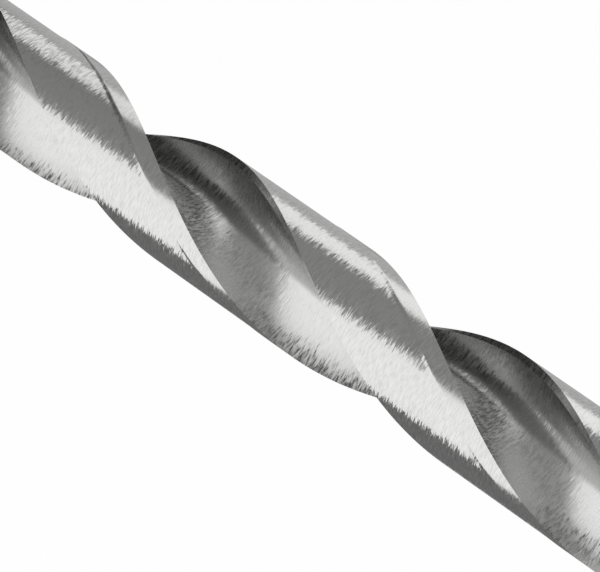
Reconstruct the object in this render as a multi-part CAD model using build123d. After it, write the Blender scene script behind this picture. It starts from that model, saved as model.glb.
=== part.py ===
from build123d import *
from math import asin, atan, cos, degrees, pi, radians, sin, sqrt, tan
import os

# Twist drill bit: a right-hand jobber drill with two flutes and a straight shank.
# It is ground from one round bar, so it is one solid. The drill stands on the flat end
# of its shank: Z is its axis and points from the shank to the cutting tip, and the origin
# is at the middle of the shank's end. All lengths are in millimetres, angles in degrees.
os.makedirs("parts", exist_ok=True)

# Overall sizes
DRILL_DIAMETER = 10.0
OVERALL_LENGTH = 133.0
FLUTE_LENGTH = 87.0
BACK_TAPER = 0.06
SHANK_CHAMFER = 0.5

# Helix and cross-section of the fluted body
LEAD = 55.9
WEB_THICKNESS = 1.6
FLUTE_ANGLE = 94.0
FLUTE_FLOOR_RADIUS = 2.1
HEEL_BEVEL_WIDTH = 0.55
HEEL_BEVEL_ANGLE = 14.0
MARGIN_WIDTH = 1.48
BODY_CLEARANCE = 0.055

# Where the flutes rise out of the body beside the shank
RUNOUT_LENGTH = 13.0
RUNOUT_EXIT = 0.8
COLLAR_LENGTH = 2.0

# Cutting tip
POINT_ANGLE = 118.0
LIP_RELIEF_ANGLE = 14.0
FLANK_CONE_ANGLE = 45.0
FLANK_CONE_REACH = 19.0

# How far the cutting tools pass outside the metal, and how finely the helix is followed
TOOL_OVERLAP = 1.2
SECTION_STEP = 4.2
RAKE_POINTS = 7
FLUTE_COUNT = 2
STANDING = (Align.CENTER, Align.CENTER, Align.MIN)

drill_radius = DRILL_DIAMETER / 2
shank_radius = (DRILL_DIAMETER - BACK_TAPER) / 2
web_radius = WEB_THICKNESS / 2
body_radius = drill_radius - BODY_CLEARANCE
shank_length = OVERALL_LENGTH - FLUTE_LENGTH
half_point = radians(POINT_ANGLE / 2)
relief = radians(LIP_RELIEF_ANGLE)
flute_pitch = 360 / FLUTE_COUNT
tool_radius = drill_radius + TOOL_OVERLAP

# The lips are straight and pass beside the axis, a web's half thickness ahead of it
lip_run = sqrt(drill_radius**2 - web_radius**2)
lip_azimuth = -degrees(asin(web_radius / drill_radius))
lip_inner_z = OVERALL_LENGTH + web_radius * tan(relief)
lip_outer_z = lip_inner_z - lip_run / tan(half_point)


def polar(radius, azimuth):
    """A point of the cross-section, from its radius and its azimuth in degrees."""
    return Vector(radius * cos(radians(azimuth)), radius * sin(radians(azimuth)))


def helix_turn(z):
    """How far the cross-section has turned at height z; it is unturned at the lips' corners."""
    return 360 * (z - lip_outer_z) / LEAD


def rake_azimuth(radius):
    """Azimuth of the rake face in the cross-section, which makes a straight lip at the tip."""
    run = sqrt(max(radius**2 - web_radius**2, 0))
    twist = degrees((run - lip_run) / tan(half_point) * 2 * pi / LEAD)
    return degrees(asin(min(web_radius / radius, 1))) + twist + lip_azimuth


def flute_profile():
    """The metal that one flute takes away, as a face at right angles to the axis.

    It comes in past the margin's corner at azimuth 0 and along the rake face to the web,
    goes round the floor and up the heel's wall to its bevel, and closes outside the bar.
    """
    steps = [index / (RAKE_POINTS - 1) for index in range(RAKE_POINTS)]
    radii = [tool_radius + (web_radius - tool_radius) * step for step in steps]
    rake_line = [polar(radius, rake_azimuth(radius)) for radius in radii]
    web_azimuth = rake_azimuth(web_radius)
    along_web = polar(1, web_azimuth + 90)
    inward = (rake_line[1] - rake_line[0]).normalized()
    rake = Spline(rake_line, tangents=[inward, along_web])

    floor_centre = polar(web_radius + FLUTE_FLOOR_RADIUS, web_azimuth)
    floor_end = floor_centre + polar(FLUTE_FLOOR_RADIUS, 180)
    floor_middle = floor_centre + polar(FLUTE_FLOOR_RADIUS, (web_azimuth + 360) / 2)
    floor = ThreePointArc(rake_line[-1], floor_middle, floor_end)

    heel = polar(body_radius, FLUTE_ANGLE)
    bevel_foot = heel - polar(HEEL_BEVEL_WIDTH, FLUTE_ANGLE + HEEL_BEVEL_ANGLE)
    wall = TangentArc(floor_end, bevel_foot, tangent=(0, 1))
    bevel_run = (heel - bevel_foot).normalized()
    heel_outside = heel + bevel_run * TOOL_OVERLAP
    bevel = Line(bevel_foot, heel_outside)

    middle_outside = polar(tool_radius, FLUTE_ANGLE / 2)
    outside = ThreePointArc(heel_outside, middle_outside, rake_line[0])
    return make_face([rake, floor, wall, bevel, outside])


def flute_tool():
    """One flute: its profile carried up the helix, after it sinks in over the run-out.

    The wheel that grinds a flute leaves it along an arc, whose radius follows from
    the run-out's length and the flute's depth.
    """
    depth = drill_radius - web_radius + RUNOUT_EXIT
    wheel_radius = (RUNOUT_LENGTH**2 + depth**2) / (2 * depth)
    profile = flute_profile()
    full_depth_z = shank_length + RUNOUT_LENGTH
    top_z = OVERALL_LENGTH + TOOL_OVERLAP
    count = round((top_z - shank_length) / SECTION_STEP)
    sections = []
    for index in range(count + 1):
        z = shank_length + (top_z - shank_length) * index / count
        back = max(full_depth_z - z, 0)
        lift = wheel_radius - sqrt(wheel_radius**2 - back**2)
        shift = polar(lift, FLUTE_ANGLE / 2)
        moved = Pos(shift.X, shift.Y, z) * profile
        sections.append(moved.rotate(Axis.Z, helix_turn(z)))
    return loft(sections)


def clearance_tool():
    """The shallow step behind one margin, which keeps the land off the wall of the hole."""
    margin_angle = degrees(MARGIN_WIDTH / drill_radius)
    step_azimuth = flute_pitch - margin_angle
    flute_side = FLUTE_ANGLE / 2
    bottom_z = shank_length + COLLAR_LENGTH
    height = OVERALL_LENGTH + TOOL_OVERLAP - bottom_z
    inner = CenterArc((0, 0), body_radius, flute_side, step_azimuth - flute_side)
    outer = CenterArc((0, 0), tool_radius, flute_side, step_azimuth - flute_side)
    sides = [Line(inner @ 0, outer @ 0), Line(inner @ 1, outer @ 1)]
    profile = make_face([inner, outer] + sides)
    profile = Pos(0, 0, bottom_z) * profile.rotate(Axis.Z, helix_turn(bottom_z))
    turn = helix_turn(bottom_z + height) - helix_turn(bottom_z)
    start = (0, 0, bottom_z)
    return Part() + Solid.extrude_linear_with_rotation(profile.face(), start, (0, 0, height), turn)


def flank_cone():
    """The cone whose surface is one flank: the lip is a line of it, and it falls behind the lip."""
    lip = Vector(sin(half_point), 0, -cos(half_point))
    square_on = Vector(cos(half_point), 0, sin(half_point))
    slope = atan(tan(relief) * sin(half_point))
    outward = square_on * cos(slope) - Vector(0, 1, 0) * sin(slope)
    cone_angle = radians(FLANK_CONE_ANGLE)
    axis = lip * cos(cone_angle) - outward * sin(cone_angle)
    apex = Vector(0, web_radius, lip_inner_z) - lip * FLANK_CONE_REACH
    height = OVERALL_LENGTH
    base_radius = height * tan(cone_angle)
    cone = Cone(0, base_radius, height, align=STANDING)
    cone = Plane(origin=apex, z_dir=axis) * cone
    return cone.rotate(Axis.Z, lip_azimuth)


def drill_bit():
    """The bar with its flutes, body clearance and ground tip.

    The bar is ground to its full diameter at the tip and narrows a little to the shank,
    so that the margins don't rub in a deep hole.
    """
    shank = Cylinder(shank_radius, shank_length, align=STANDING)
    shank = chamfer(shank.edges().group_by(Axis.Z)[0], SHANK_CHAMFER)
    body_height = OVERALL_LENGTH + TOOL_OVERLAP - shank_length
    body = Cone(shank_radius, drill_radius, body_height, align=STANDING)
    body = Pos(0, 0, shank_length) * body
    flute = flute_tool()
    clearance = clearance_tool()
    flank = flank_cone()
    turns = [index * flute_pitch for index in range(FLUTE_COUNT)]
    for turn in turns:
        body -= flute.rotate(Axis.Z, turn)
    for turn in turns:
        body -= clearance.rotate(Axis.Z, turn)
    for turn in turns:
        body &= flank.rotate(Axis.Z, turn)
    return body + shank


export_step(drill_bit(), "parts/drill_bit.step")
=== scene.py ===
# %% [markdown]
# # A twist drill, ground from one bar of high speed steel
# The drill stands on its shank. Its body is a round bar with two deep flutes that wind up it
# like the threads of a screw, and its tip is ground to a point. The CAD model gives the true
# size, and this file dresses it: a finer skin of the same shape, and the look of ground steel.

import bpy
import math
import numpy as np
from mathutils import Matrix, Vector


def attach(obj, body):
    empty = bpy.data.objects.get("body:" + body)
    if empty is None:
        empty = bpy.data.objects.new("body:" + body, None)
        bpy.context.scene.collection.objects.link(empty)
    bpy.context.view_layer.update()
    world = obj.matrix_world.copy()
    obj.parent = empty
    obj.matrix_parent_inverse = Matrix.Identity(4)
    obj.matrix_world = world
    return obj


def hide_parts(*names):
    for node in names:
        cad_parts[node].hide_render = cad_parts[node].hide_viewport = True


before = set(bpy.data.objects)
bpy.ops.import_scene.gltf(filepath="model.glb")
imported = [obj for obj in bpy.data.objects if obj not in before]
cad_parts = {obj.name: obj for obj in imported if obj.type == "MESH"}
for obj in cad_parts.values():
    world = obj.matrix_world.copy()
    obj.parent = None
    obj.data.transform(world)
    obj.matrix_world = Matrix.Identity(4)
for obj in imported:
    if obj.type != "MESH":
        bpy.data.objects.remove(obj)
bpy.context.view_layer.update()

# %% [markdown]
# ## Sizes
# These are the sizes of the CAD solid, in millimetres and degrees, so that the skin made here
# lies on it. The lead, the flute's angle and the clearance behind the margins were matched to
# how a drill's edges run; the lengths are standard ones for a drill of this diameter. The
# skin is drawn in by a hair, to stay inside the solid. Blender itself works in metres.

# %% Sizes of the drill
MM = 0.001
DRILL_RADIUS = 5.0
SHANK_RADIUS = 4.97
SHANK_CHAMFER = 0.5
OVERALL_LENGTH = 133.0
SHANK_LENGTH = 46.0
LEAD = 55.9
WEB_RADIUS = 0.8
FLUTE_ANGLE = 94.0
FLOOR_RADIUS = 2.1
HEEL_BEVEL_WIDTH = 0.55
HEEL_BEVEL_ANGLE = 14.0
MARGIN_WIDTH = 1.48
BODY_CLEARANCE = 0.055
RUNOUT_LENGTH = 13.0
RUNOUT_EXIT = 0.8
COLLAR_LENGTH = 2.0
HALF_POINT = math.radians(59)
LIP_RELIEF = math.radians(14)
BAR_TOP = 134.2
# How far the flute's outline runs on past the bar, so that it always crosses it.
OVERSHOOT = 1.2
SKIN_INSET = 0.9996

body_radius = DRILL_RADIUS - BODY_CLEARANCE
margin_angle = math.degrees(MARGIN_WIDTH / DRILL_RADIUS)
lip_run = math.sqrt(DRILL_RADIUS**2 - WEB_RADIUS**2)
lip_azimuth = -math.degrees(math.asin(WEB_RADIUS / DRILL_RADIUS))
lip_inner_height = OVERALL_LENGTH + WEB_RADIUS * math.tan(LIP_RELIEF)
lip_outer_height = lip_inner_height - lip_run / math.tan(HALF_POINT)


def helix_turn(height):
    """How far the cross-section has turned at a height, in degrees."""
    return 360 * (height - lip_outer_height) / LEAD


def bar_radius(height):
    """The bar's radius, which narrows a little from the tip to the shank."""
    share = (height - SHANK_LENGTH) / (BAR_TOP - SHANK_LENGTH)
    return SHANK_RADIUS + (DRILL_RADIUS - SHANK_RADIUS) * share


def polar(radius, azimuth):
    """A point of the cross-section."""
    turn = math.radians(azimuth)
    return np.array([radius * math.cos(turn), radius * math.sin(turn)])


def arc(centre, radius, start, end, count):
    """Points round an arc, between two azimuths."""
    return np.array([centre + polar(radius, azimuth) for azimuth in np.linspace(start, end, count)])


print(f"helix angle {math.degrees(math.atan(2 * math.pi * DRILL_RADIUS / LEAD)):.1f} degrees")

# %% [markdown]
# ## The flute's outline
# A flute is as wide as the wheel that ground it. On the cutting side its face is shaped so
# that the lip at the tip comes out straight. Then come a round floor, a wall that is slightly
# hollow, and a narrow bevel at the heel. The outline is drawn once, as closely spaced points,
# and every cross-section of the drill is cut from it.

# %% Draw the flute's outline


def rake_azimuth(radius):
    """Azimuth of the cutting face, which makes a straight lip at the tip."""
    run = math.sqrt(max(radius**2 - WEB_RADIUS**2, 0))
    twist = math.degrees((run - lip_run) / math.tan(HALF_POINT) * 2 * math.pi / LEAD)
    return math.degrees(math.asin(min(WEB_RADIUS / radius, 1))) + twist + lip_azimuth


def flute_outline():
    """The flute from outside the bar, down the cutting face, to the heel's bevel and out."""
    radii = WEB_RADIUS + (DRILL_RADIUS + OVERSHOOT - WEB_RADIUS) * np.linspace(1, 0, 240) ** 2
    rake = np.array([polar(radius, rake_azimuth(radius)) for radius in radii])
    web_azimuth = rake_azimuth(WEB_RADIUS)
    centre = polar(WEB_RADIUS + FLOOR_RADIUS, web_azimuth)
    floor = arc(centre, FLOOR_RADIUS, web_azimuth + 180, 180, 80)
    heel = polar(body_radius, FLUTE_ANGLE)
    foot = heel - polar(HEEL_BEVEL_WIDTH, FLUTE_ANGLE + HEEL_BEVEL_ANGLE)
    chord = foot - floor[-1]
    wall_radius = (chord @ chord) / (2 * chord[0])
    wall_centre = floor[-1] + np.array([wall_radius, 0])
    sweep = 2 * math.degrees(math.atan2(chord[0], chord[1]))
    wall = arc(wall_centre, wall_radius, 180, 180 - sweep, 120)
    outward = (heel - foot) / HEEL_BEVEL_WIDTH
    bevel = foot + outward * np.linspace(0, HEEL_BEVEL_WIDTH + OVERSHOOT, 60)[:, None]
    return np.concatenate([rake, floor[1:], wall[1:]]), bevel


hollow, bevel = flute_outline()
print(f"flute outline: {len(hollow)} points in the hollow, {len(bevel)} on the bevel")

# %% [markdown]
# ## One cross-section
# A cross-section is made of two equal halves. Each has the hollow of a flute, the bevel, the
# land, the small step down behind the margin, and the margin, which alone rubs on the wall of
# the hole. Every height gets the same number of points in the same order, so that neighbours
# can be joined. Beside the shank the grinding wheel lifts out, so the flute gets shallower.

# %% Cut one cross-section
HOLLOW_POINTS, BEVEL_POINTS, LAND_POINTS, MARGIN_POINTS = 66, 3, 26, 7
STEP_SLOPE = 1.6
HALF_POINTS = HOLLOW_POINTS + BEVEL_POINTS + LAND_POINTS + MARGIN_POINTS
flute_depth = DRILL_RADIUS - WEB_RADIUS + RUNOUT_EXIT
wheel_radius = (RUNOUT_LENGTH**2 + flute_depth**2) / (2 * flute_depth)
full_depth_height = SHANK_LENGTH + RUNOUT_LENGTH


def wheel_lift(height):
    """How far the wheel has lifted out of the flute."""
    back = max(full_depth_height - height, 0)
    return wheel_radius - math.sqrt(wheel_radius**2 - back**2)


def crossing(points, radius, last):
    """Where a line of points first goes inside a circle, or last comes out of it."""
    inside = np.hypot(points[:, 0], points[:, 1]) < radius
    if not inside.any():
        return None
    if last:
        index = len(inside) - 1 - int(np.argmax(inside[::-1]))
    else:
        index = int(np.argmax(inside)) - 1
    if index < 0 or index + 1 >= len(points):
        return float(max(index, 0))
    near, far = (math.hypot(*points[index + step]) for step in (0, 1))
    return index + (radius - near) / (far - near)


def along(points, start, end, count, with_end=False):
    """Evenly spaced points of a line, between two places given as fractional indices."""
    index = np.arange(len(points))
    length = np.concatenate([[0], np.cumsum(np.hypot(*np.diff(points, axis=0).T))])
    ends = np.interp([start, end], index, length)
    stops = np.linspace(ends[0], ends[1], count, endpoint=with_end)
    return np.stack([np.interp(stops, length, points[:, axis]) for axis in (0, 1)], 1)


def cross_section(height):
    """The drill's outline at a height, unturned."""
    outer = bar_radius(height)
    inner = outer if height < SHANK_LENGTH + COLLAR_LENGTH else body_radius
    shift = polar(wheel_lift(height), FLUTE_ANGLE / 2)
    line, slope = hollow + shift, bevel + shift
    start = crossing(line, outer, last=False)
    if start is None:
        middle = np.repeat(polar(outer, exit_azimuth)[None], HOLLOW_POINTS + BEVEL_POINTS, 0)
        heel_azimuth = exit_azimuth
        cut = [middle]
    else:
        foot_is_inside = math.hypot(*slope[0]) < inner
        end = len(line) - 1 if foot_is_inside else crossing(line, inner, last=True)
        top = crossing(slope, inner, last=True) if foot_is_inside else 0
        bevel_part = along(slope, 0, top, BEVEL_POINTS) if foot_is_inside else None
        hollow_part = along(line, start, end, HOLLOW_POINTS, not foot_is_inside)
        if bevel_part is None:
            bevel_part = np.repeat(hollow_part[-1:], BEVEL_POINTS, 0)
        heel = along(slope, 0, top, 2, True)[-1] if foot_is_inside else hollow_part[-1]
        heel_azimuth = math.degrees(math.atan2(heel[1], heel[0]))
        cut = [hollow_part, bevel_part]
    lead = math.degrees(math.atan2(cut[0][0, 1], cut[0][0, 0]))
    margin_start = 180 - margin_angle
    land = arc(0, inner, heel_azimuth, margin_start - STEP_SLOPE, LAND_POINTS)
    margin = arc(0, outer, margin_start, 180 + lead, MARGIN_POINTS + 1)[:-1]
    half = np.concatenate(cut + [land, margin])
    return np.concatenate([half, -half])


exit_back = math.sqrt(wheel_radius**2 - (wheel_radius - (bar_radius(SHANK_LENGTH + 1) - WEB_RADIUS)) ** 2)
exit_height = full_depth_height - exit_back
near_exit = hollow + polar(wheel_lift(exit_height), FLUTE_ANGLE / 2)
deepest = near_exit[np.argmin(np.hypot(near_exit[:, 0], near_exit[:, 1]))]
exit_azimuth = math.degrees(math.atan2(deepest[1], deepest[0]))
print(f"{2 * HALF_POINTS} points a section; the flutes run out at {exit_height:.2f} mm")

# %% [markdown]
# ## The skin of the drill
# A screw modifier is the natural tool for a twist drill: it carries one drawn cross-section up
# an axis while turning it. The section starts as a circle whose points are moved on to the
# outline. After the sweep, the rings beside the shank are redrawn, because there the flutes
# get shallower, which a plain sweep can't do. The shank is then extruded from the lowest ring.

# %% Sweep the section up the bar
ROWS = 284


def only(piece):
    """Selects one object alone."""
    bpy.ops.object.select_all(action="DESELECT")
    piece.select_set(True)
    bpy.context.view_layer.objects.active = piece


def turned(points, degrees):
    """Points of a section, turned about the axis."""
    c, s = math.cos(math.radians(degrees)), math.sin(math.radians(degrees))
    return points @ np.array([[c, s], [-s, c]])


count = 2 * HALF_POINTS
bpy.ops.object.select_all(action="DESELECT")
bpy.ops.mesh.primitive_circle_add(vertices=count, radius=DRILL_RADIUS * MM)
drill = bpy.context.object
drill.name = drill.data.name = "ground_drill"
first = turned(cross_section(full_depth_height), helix_turn(exit_height))
for vertex, place in zip(drill.data.vertices, first):
    vertex.co = (place[0] * MM, place[1] * MM, exit_height * MM)

rise = BAR_TOP - exit_height
screw = drill.modifiers.new("Twist", "SCREW")
screw.angle = math.radians(360 * rise / LEAD)
screw.screw_offset = rise * MM
screw.steps = screw.render_steps = ROWS
screw.use_merge_vertices = False
only(drill)
bpy.ops.object.modifier_apply(modifier="Twist")
swept = np.empty(len(drill.data.vertices) * 3)
drill.data.vertices.foreach_get("co", swept)
swept = swept.reshape(-1, count, 3)
print(f"{swept.shape[0]} rings of {swept.shape[1]} points, {len(drill.data.polygons)} faces")

# %% [markdown]
# The rings get their final heights here too: closer together where the flute runs out, and
# even above. The sections come from the same function as before, so above the run-out nothing
# moves but the bar's slight taper.

# %% Redraw the rings
EASING_POWER = 1.6
easing = 50
low = exit_height + (full_depth_height - exit_height) * np.linspace(0, 1, easing) ** EASING_POWER
high = np.linspace(full_depth_height, BAR_TOP, swept.shape[0] - easing + 1)[1:]
heights = np.concatenate([low, high])
for ring, height in enumerate(heights):
    section = cross_section(height + (1e-6 if ring == 0 else 0))
    swept[ring, :, :2] = turned(section, helix_turn(height)) * MM
    swept[ring, :, 2] = height * MM
drill.data.vertices.foreach_set("co", swept.ravel())

column = np.tile(np.arange(count), swept.shape[0]) % HALF_POINTS
polygons = drill.data.polygons
corners = np.array([polygon.vertices for polygon in polygons])
columns = column[corners]
in_flute = (columns <= HOLLOW_POINTS + BEVEL_POINTS).all(1) & (columns.max(1) - columns.min(1) <= 1)
in_margin = columns.min(1) >= HOLLOW_POINTS + BEVEL_POINTS + LAND_POINTS
in_margin |= (columns.max(1) == HALF_POINTS - 1) & (columns.min(1) == 0)
finish_index = np.where(in_flute, 1, np.where(in_margin, 2, 0))
FINISHES = (
    "Cylindrically ground high speed steel",
    "Flute-ground high speed steel",
    "Finely ground high speed steel",
    "Point-ground high speed steel",
)
for name in FINISHES:
    drill.data.materials.append(bpy.data.materials.new(name))
drill.data.polygons.foreach_set("material_index", finish_index.astype(np.int32))
print("faces on lands, flutes, margins:", np.bincount(finish_index))

# %% [markdown]
# ## Shank and point
# The lowest ring is extruded down for the plain shank, drawn in for the chamfer, and filled.
# The point is ground by swinging the drill past a wheel, so that each flank is part of a cone.
# Two big cones do the same here: the drill keeps only what lies inside both.

# %% Extrude the shank


def select_vertices(piece, wanted):
    """Edit mode with just the vertices at the wanted places selected."""
    only(piece)
    bpy.ops.object.mode_set(mode="EDIT")
    bpy.ops.mesh.select_mode(type="VERT")
    bpy.ops.mesh.select_all(action="DESELECT")
    bpy.ops.object.mode_set(mode="OBJECT")
    for vertex in piece.data.vertices:
        vertex.select = wanted(vertex.co)
    bpy.ops.object.mode_set(mode="EDIT")


def extrude_down(distance, shrink=1.0):
    """Extrudes the selected ring straight down, and draws it in about the axis."""
    bpy.ops.mesh.extrude_region_move(TRANSFORM_OT_translate={"value": (0, 0, -distance * MM)})
    bpy.ops.transform.resize(value=(shrink, shrink, 1), center_override=(0, 0, 0))


lowest = exit_height * MM + 1e-7
select_vertices(drill, lambda place: place.z < lowest)
extrude_down(exit_height - SHANK_LENGTH, SHANK_RADIUS / bar_radius(exit_height))
extrude_down(SHANK_LENGTH - SHANK_CHAMFER)
extrude_down(SHANK_CHAMFER, 1 - SHANK_CHAMFER / SHANK_RADIUS)
bpy.ops.mesh.edge_face_add()
bpy.ops.object.mode_set(mode="OBJECT")
top_place = (BAR_TOP - 0.01) * MM
select_vertices(drill, lambda place: place.z > top_place)
bpy.ops.mesh.edge_face_add()
bpy.ops.mesh.select_all(action="SELECT")
bpy.ops.mesh.remove_doubles(threshold=1e-6)
bpy.ops.mesh.dissolve_degenerate(threshold=1e-7)
bpy.ops.mesh.select_all(action="SELECT")
bpy.ops.mesh.normals_make_consistent(inside=False)
bpy.ops.object.mode_set(mode="OBJECT")
print("bar with shank:", len(drill.data.polygons), "faces")

# %% [markdown]
# A flank falls away behind its lip by the relief angle. The cone that does it has the lip as
# one of its straight lines, and its own axis leans by half the cone's angle from that line.

# %% Grind the point
CONE_ANGLE = math.radians(45)
CONE_REACH = 19.0
CONE_HEIGHT = 220.0
SMOOTH_UNDER = math.radians(24)
lip = Vector((math.sin(HALF_POINT), 0, -math.cos(HALF_POINT)))
square_on = Vector((math.cos(HALF_POINT), 0, math.sin(HALF_POINT)))
fall = math.atan(math.tan(LIP_RELIEF) * math.sin(HALF_POINT))
outward = square_on * math.cos(fall) - Vector((0, 1, 0)) * math.sin(fall)
axis = lip * math.cos(CONE_ANGLE) - outward * math.sin(CONE_ANGLE)
apex = Vector((0, WEB_RADIUS, lip_inner_height)) - lip * CONE_REACH
for side in (0, 180):
    spin = Matrix.Rotation(math.radians(lip_azimuth + side), 3, "Z")
    middle = spin @ (apex + axis * (CONE_HEIGHT / 2)) * MM
    bpy.ops.object.select_all(action="DESELECT")
    bpy.ops.mesh.primitive_cone_add(
        vertices=720,
        radius1=CONE_HEIGHT * math.tan(CONE_ANGLE) * MM,
        radius2=0,
        depth=CONE_HEIGHT * MM,
        location=middle,
        rotation=(spin @ -axis).to_track_quat("Z", "Y").to_euler(),
    )
    cone = bpy.context.object
    cone.data.materials.append(bpy.data.materials[FINISHES[3]])
    only(drill)
    cut = drill.modifiers.new("Flank", "BOOLEAN")
    cut.operation = "INTERSECT"
    cut.solver = "MANIFOLD"
    cut.material_mode = "TRANSFER"
    cut.object = cone
    bpy.ops.object.modifier_apply(modifier="Flank")
    bpy.data.objects.remove(cone)
    print("flank ground:", len(drill.data.polygons), "faces")
only(drill)
bpy.ops.object.shade_smooth_by_angle(angle=SMOOTH_UNDER)
drill_low, drill_high = np.array(drill.bound_box).min(0), np.array(drill.bound_box).max(0)
print("skin, mm:", np.round(drill_low * 1000, 3), np.round(drill_high * 1000, 3))
worn = np.bincount([polygon.material_index for polygon in drill.data.polygons])
print("finishes:", [slot.name for slot in drill.material_slots], worn)

# %% [markdown]
# ## Camera
# A wide lens close by would make the near end of the drill swell. A long lens a quarter of a
# metre away keeps its sides nearly parallel, which shows the twist truly. It looks a little
# upwards along the drill, and is rolled so that the drill runs from the upper left to the
# lower right. Every value is one number that can be turned by itself.

# %% Place the camera
VIEW_HEIGHT = 93.5
VIEW_AZIMUTH = helix_turn(VIEW_HEIGHT) + 71.6
VIEW_ELEVATION = -21.97
VIEW_DISTANCE = 245.7
VIEW_ROLL = -55.05
VIEW_OFFSET = 0.318
LENS = 197.2
SENSOR_WIDTH = 36

azimuth, elevation, roll = (math.radians(v) for v in (VIEW_AZIMUTH, VIEW_ELEVATION, VIEW_ROLL))
level = Vector((math.cos(azimuth), math.sin(azimuth), 0))
backwards = level * math.cos(elevation) + Vector((0, 0, math.sin(elevation)))
sideways = Vector((-math.sin(azimuth), math.cos(azimuth), 0))
upright = backwards.cross(sideways)
right = sideways * math.cos(roll) + upright * math.sin(roll)
upwards = upright * math.cos(roll) - sideways * math.sin(roll)
target = Vector((0, 0, VIEW_HEIGHT)) - sideways * VIEW_OFFSET
camera_data = bpy.data.cameras.new("long_lens")
camera_data.lens, camera_data.sensor_width = LENS, SENSOR_WIDTH
camera_data.clip_start, camera_data.clip_end = 0.01, 20
camera = bpy.data.objects.new("long_lens", camera_data)
bpy.context.collection.objects.link(camera)
camera.matrix_world = Matrix.Translation((target + backwards * VIEW_DISTANCE) * MM) @ Matrix(
    (right, upwards, backwards)
).transposed().to_4x4()
bpy.context.scene.camera = camera
print("camera at, mm:", [round(v * 1000, 1) for v in camera.matrix_world.translation])

# %% [markdown]
# ## Building node trees
# Each finish below is a handful of nodes. One small function adds a node, sets its options,
# and fills its inputs, either with a value or with a link from another node. Colours are
# written as they look on a screen, in hex, and turned into the linear values Blender wants.

# %% Two helpers for nodes
MATHS = "ShaderNodeMath"
VECTORS = "ShaderNodeVectorMath"


def linear(hex_colour):
    """A screen colour in hex, as linear red, green, blue and alpha."""
    parts = [int(hex_colour[place : place + 2], 16) / 255 for place in (1, 3, 5)]
    return tuple(c / 12.92 if c <= 0.04045 else ((c + 0.055) / 1.055) ** 2.4 for c in parts) + (1,)


def add(tree, kind, inputs=None, **settings):
    """Adds a node to a tree, sets its options, fills its inputs and gives it back."""
    made = tree.nodes.new(kind)
    for name, value in settings.items():
        setattr(made, name, value)
    for socket, value in (inputs or {}).items():
        if isinstance(value, bpy.types.NodeSocket):
            tree.links.new(value, made.inputs[socket])
        else:
            made.inputs[socket].default_value = value
    return made


# %% [markdown]
# ## Light
# Bare steel has hardly any colour of its own: it shows what stands around it. The plainest
# choice is a white surround, which the lens, the steel and the floor all see, but a drill in a
# plain white room comes out flat. So a few soft-edged grey and black cards stand in the white,
# as flags do in a studio, and only the steel sees them. They are drawn in the world's nodes,
# by bearing round the drill and by height above it, both in degrees. Nothing is brighter than
# the white, so a colour renders about as it is written.

# %% White surround with cards
WHITE = 0.99
EDGE = 5.0
CARD_LEAN = 0.7
LEAN_FROM = 25.0
# Bearing of the middle (0 is towards the lens), half width, and shade.
UPRIGHT_CARDS = {
    "beside the lens": (35, 38, 0.24),
    "behind, to the left": (-135, 40, 0.15),
    "behind, to the right": (150, 40, 0.45),
}
CLOTH_FROM = 42.0
CLOTH_SLOPE = 12.0
CLOTH_SHADE = 0.02
BASE_BELOW = -27.0
BASE_SHADE = 0.08

world = bpy.data.worlds.new("white surround with cards")
bpy.context.scene.world = world
world.use_nodes = True
sky = world.node_tree
sky.nodes.clear()
direction = add(sky, "ShaderNodeTexCoord").outputs["Generated"]
turned_back = {"Vector": direction, "Angle": -azimuth}
facing = add(sky, "ShaderNodeVectorRotate", turned_back, rotation_type="Z_AXIS").outputs[0]
split = add(sky, "ShaderNodeSeparateXYZ", {0: facing}).outputs
bearing_radians = add(sky, MATHS, {0: split[1], 1: split[0]}, operation="ARCTAN2").outputs[0]
bearing = add(sky, MATHS, {0: bearing_radians}, operation="DEGREES").outputs[0]
height_radians = add(sky, MATHS, {0: split[2]}, operation="ARCSINE").outputs[0]
height_angle = add(sky, MATHS, {0: height_radians}, operation="DEGREES").outputs[0]
over_eye = add(sky, MATHS, {0: height_angle, 1: LEAN_FROM}, operation="SUBTRACT").outputs[0]
leaning = add(sky, MATHS, {0: over_eye, 1: CARD_LEAN, 2: bearing}, operation="MULTIPLY_ADD").outputs[0]

# How many degrees inside each card a direction lies, with the card's shade.
cards = []
for middle, half_width, shade in UPRIGHT_CARDS.values():
    aside = add(sky, MATHS, {0: leaning, 1: middle}, operation="SUBTRACT").outputs[0]
    wrapped = add(sky, MATHS, {0: aside, 1: 180.0, 2: -180.0}, operation="WRAP").outputs[0]
    away = add(sky, MATHS, {0: wrapped}, operation="ABSOLUTE").outputs[0]
    depth = add(sky, MATHS, {0: half_width, 1: away}, operation="SUBTRACT").outputs[0]
    cards.append((depth, shade))
to_the_right = add(sky, MATHS, {0: bearing_radians}, operation="SINE").outputs[0]
sloping = {0: to_the_right, 1: CLOTH_SLOPE, 2: height_angle}
cloth_height = add(sky, MATHS, sloping, operation="MULTIPLY_ADD").outputs[0]
depth = add(sky, MATHS, {0: cloth_height, 1: CLOTH_FROM}, operation="SUBTRACT").outputs[0]
cards.append((depth, CLOTH_SHADE))
depth = add(sky, MATHS, {0: BASE_BELOW, 1: height_angle}, operation="SUBTRACT").outputs[0]
cards.append((depth, BASE_SHADE))

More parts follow.
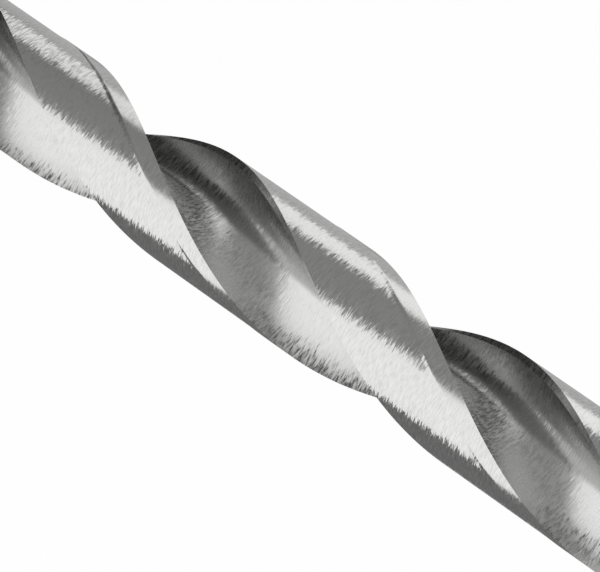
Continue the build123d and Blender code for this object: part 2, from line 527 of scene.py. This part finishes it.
seen_level = WHITE
for depth, shade in cards:
    soft = {0: depth, 1: -EDGE / 2, 2: EDGE / 2, 3: 0.0, 4: 1.0}
    share = add(sky, "ShaderNodeMapRange", soft, interpolation_type="SMOOTHSTEP").outputs[0]
    mixing = {0: share, 2: seen_level, 3: shade}
    seen_level = add(sky, "ShaderNodeMix", mixing, data_type="FLOAT").outputs[0]
path = add(sky, "ShaderNodeLightPath").outputs
steel_sees = add(sky, "ShaderNodeBackground", {"Color": seen_level, "Strength": 1.0}).outputs[0]
plain = add(sky, "ShaderNodeBackground", {"Color": (1, 1, 1, 1), "Strength": WHITE}).outputs[0]
chosen = add(sky, "ShaderNodeMixShader", {0: path["Is Glossy Ray"], 1: plain, 2: steel_sees}).outputs[0]
add(sky, "ShaderNodeOutputWorld", {"Surface": chosen})
print(f"a white surround with {len(UPRIGHT_CARDS)} upright cards, a cloth above and a base below")

# %% [markdown]
# ## Ground steel
# High speed steel is a neutral grey metal. Every face of a drill is ground, and the abrasive
# leaves fine parallel lines. A bump map could draw them, but it would need a picture or a very
# dense pattern. Here the surface's normal leans a little from line to line instead, so that
# the edge of a reflection frays into hairs, and the shader's anisotropy stands for the lines
# too fine to draw, which scatter light across themselves. Rougher lines lie among smoother ones.
#
# The lines run round the drill's axis on every face, so one pattern in the drill's own
# coordinates serves them all. It is drawn coarser than real grinding lines, to show at a size
# where the drill fills the frame. The steel is written paler than the bare metal is, because
# nothing around it is brighter than white.

# %% Helpers for ground lines


def steel(name, roughness, anisotropy):
    """A bare steel material, with its tree and its shader."""
    material = bpy.data.materials[name]
    material.use_nodes = True
    tree = material.node_tree
    shader = tree.nodes["Principled BSDF"]
    shader.inputs["Metallic"].default_value = 1.0
    shader.inputs["Roughness"].default_value = roughness
    shader.inputs["Anisotropic"].default_value = anisotropy
    shader.inputs["Anisotropic Rotation"].default_value = ACROSS_THE_LINES
    return material, tree, shader


def lines(tree, place, stretch, detail=2.0):
    """Noise drawn out into lines, from -0.5 to 0.5; stretch is in cells per metre."""
    stretched = add(tree, VECTORS, {0: place, 1: stretch}, operation="MULTIPLY").outputs[0]
    noise = add(tree, "ShaderNodeTexNoise", {"Vector": stretched, "Scale": 1.0, "Detail": detail})
    return add(tree, MATHS, {0: noise.outputs[0], 1: 0.5}, operation="SUBTRACT").outputs[0]


def lean(tree, normal, *leans):
    """The surface's normal, leaning in some directions by some amounts."""
    for way, amount in leans:
        step = add(tree, VECTORS, {0: way, "Scale": amount}, operation="SCALE").outputs[0]
        normal = add(tree, VECTORS, {0: normal, 1: step}, operation="ADD").outputs[0]
    return add(tree, VECTORS, {0: normal}, operation="NORMALIZE").outputs[0]


def round_the_axis(tree, place):
    """The direction round the drill at a place."""
    sides = {0: (0, 0, 1), 1: place}
    across = add(tree, VECTORS, sides, operation="CROSS_PRODUCT").outputs[0]
    return add(tree, VECTORS, {0: across}, operation="NORMALIZE").outputs[0]


# %% Lands and shank, ground round the axis
ACROSS_THE_LINES = 0.25
# Millimetres between drawn lines, and along one; drawn coarser than real ones.
LINE_GAP = 0.09
LINE_LENGTH = 0.7
FINE_SHARE = 0.75
DARK_LINES = "#D4D4D3"
PALE_LINES = "#F2F2F1"
per_gap = 1 / (LINE_GAP * MM)
per_line = 1 / (LINE_LENGTH * MM)


def round_ground(name, roughness, spread, anisotropy, sway, tilt, turn=0.0):
    """Steel ground round the axis: its lines sway round the drill and tilt along it."""
    material, tree, shader = steel(name, roughness, anisotropy)
    place = add(tree, "ShaderNodeTexCoord").outputs["Object"]
    normal = add(tree, "ShaderNodeNewGeometry").outputs["Normal"]
    way = round_the_axis(tree, place)
    coarse = lines(tree, place, (per_line, per_line, per_gap))
    fine = lines(tree, place, (per_line, per_line, per_gap * FINE_SHARE), 3.0)
    shine = add(tree, MATHS, {0: fine, 1: 2.0, 2: 0.5}, operation="MULTIPLY_ADD").outputs[0]
    shades = {0: shine, 6: linear(DARK_LINES), 7: linear(PALE_LINES)}
    lined = add(tree, "ShaderNodeMix", shades, data_type="RGBA").outputs[2]
    tree.links.new(lined, shader.inputs["Base Color"])
    roughening = {0: fine, 1: spread, 2: roughness}
    rubbed = add(tree, MATHS, roughening, operation="MULTIPLY_ADD").outputs[0]
    tree.links.new(rubbed, shader.inputs["Roughness"])
    swayed = add(tree, MATHS, {0: coarse, 1: sway, 2: turn}, operation="MULTIPLY_ADD").outputs[0]
    tilted = add(tree, MATHS, {0: fine, 1: tilt}, operation="MULTIPLY").outputs[0]
    leaning = lean(tree, normal, (way, swayed), ((0, 0, 1), tilted))
    tree.links.new(leaning, shader.inputs["Normal"])
    return material, tree, shader, place, lined


# Broad bright bands with frayed edges, on the lands and the shank.
land_steel = round_ground(FINISHES[0], 0.17, 0.5, 0.65, 0.42, 0.3)[0]
# A cleaner, narrower gleam along the margins, with lines that lean less.
round_ground(FINISHES[2], 0.2, 0.4, 0.5, 0.12, 0.15, 0.1)

# %% [markdown]
# ## Flutes
# The flutes carry the same ground lines, on a rougher surface, so what they mirror runs
# together into soft greys. Their heel side gets painted shade: its base colour is darker than
# the rest, by its bearing in the section once the twist is taken out. Reflections alone leave
# that side too bright for the eye; the painted shade is a choice of looks, not a known finish.

# %% Flutes, with painted shade up their heel side
# Base colour of the painted shade on the flutes' heel side.
HEEL_PAINTED_SHADE = "#C2C2C1"
# Bearing of the heel's wall in the section; the other flute's lies opposite, hence the doubling.
HEEL_SIDE = 100
SHADE_FROM = -0.4
_, tree, shader, place, lined = round_ground(FINISHES[1], 0.3, 0.7, 0.3, 0.3, 0.35)
height = add(tree, "ShaderNodeSeparateXYZ", {0: place}).outputs[2]
turn_per_metre = math.radians(helix_turn(1.0) - helix_turn(0.0)) / MM
twist = add(tree, MATHS, {0: height, 1: -turn_per_metre}, operation="MULTIPLY").outputs[0]
twisted = {"Vector": place, "Angle": twist}
untwisted = add(tree, "ShaderNodeVectorRotate", twisted, rotation_type="Z_AXIS").outputs[0]
split = add(tree, "ShaderNodeSeparateXYZ", {0: untwisted}).outputs
section_bearing = add(tree, MATHS, {0: split[1], 1: split[0]}, operation="ARCTAN2").outputs[0]
heel_bearing = math.radians(HEEL_SIDE + helix_turn(0.0))
doubled = {0: section_bearing, 1: 2.0, 2: -2 * heel_bearing}
from_heel = add(tree, MATHS, doubled, operation="MULTIPLY_ADD").outputs[0]
near_heel = add(tree, MATHS, {0: from_heel}, operation="COSINE").outputs[0]
# How near the heel's wall a place lies: the mask for the painted shade.
soft = {0: near_heel, 1: SHADE_FROM, 2: 1.0, 3: 0.0, 4: 1.0}
heel = add(tree, "ShaderNodeMapRange", soft, interpolation_type="SMOOTHSTEP").outputs[0]
# Painted shade: white away from the heel, darker towards it, multiplied into the lines' colour.
painted_shade_colours = {0: heel, 6: (1, 1, 1, 1), 7: linear(HEEL_PAINTED_SHADE)}
painted_heel_shade = add(tree, "ShaderNodeMix", painted_shade_colours, data_type="RGBA").outputs[2]
both = {0: 1.0, 6: lined, 7: painted_heel_shade}
lines_with_painted_shade = add(tree, "ShaderNodeMix", both, data_type="RGBA", blend_type="MULTIPLY").outputs[2]
tree.links.new(lines_with_painted_shade, shader.inputs["Base Color"])

# %% [markdown]
# The flanks of the point are small faces seen at many angles. Lines that hardly sway give
# them a plain, even gleam.

# %% The point
round_ground(FINISHES[3], 0.22, 0.4, 0.6, 0.1, 0.3)

# %% [markdown]
# ## Floor
# The drill stands on a round pale plate, which catches its shadow. A small plate is enough,
# and it keeps the steel from mirroring a wide floor. Lit by plain white, its paint comes out
# about as it is written.

# %% Floor
PLATE_RADIUS = 70.0
PLATE_THICKNESS = 4.0
bpy.ops.object.select_all(action="DESELECT")
bpy.ops.mesh.primitive_cylinder_add(
    vertices=128,
    radius=PLATE_RADIUS * MM,
    depth=PLATE_THICKNESS * MM,
    location=(0, 0, -PLATE_THICKNESS / 2 * MM),
)
floor = bpy.context.object
floor.name = "floor"
floor_paint = bpy.data.materials.new("Pale matt paint")
floor_paint.use_nodes = True
paint = floor_paint.node_tree.nodes["Principled BSDF"]
paint.inputs["Base Color"].default_value = linear("#E6E6E4")
paint.inputs["Roughness"].default_value = 0.8
floor.data.materials.append(floor_paint)

# %% [markdown]
# ## Hand over
# The skin takes the CAD solid's place and rides on its body, and the hidden CAD node gets the
# lands' steel in its slot. The skin is drawn in by a hair first.

# %% Hand over
drill.scale = (SKIN_INSET, SKIN_INSET, 1)
only(drill)
bpy.ops.object.transform_apply(location=False, rotation=False, scale=True)
bpy.context.scene.view_settings.view_transform = "Standard"
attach(drill, "root")
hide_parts("drill_bit")
cad_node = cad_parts["drill_bit"]
print("slots of the CAD node:", len(cad_node.material_slots))
cad_node.material_slots[0].material = land_steel
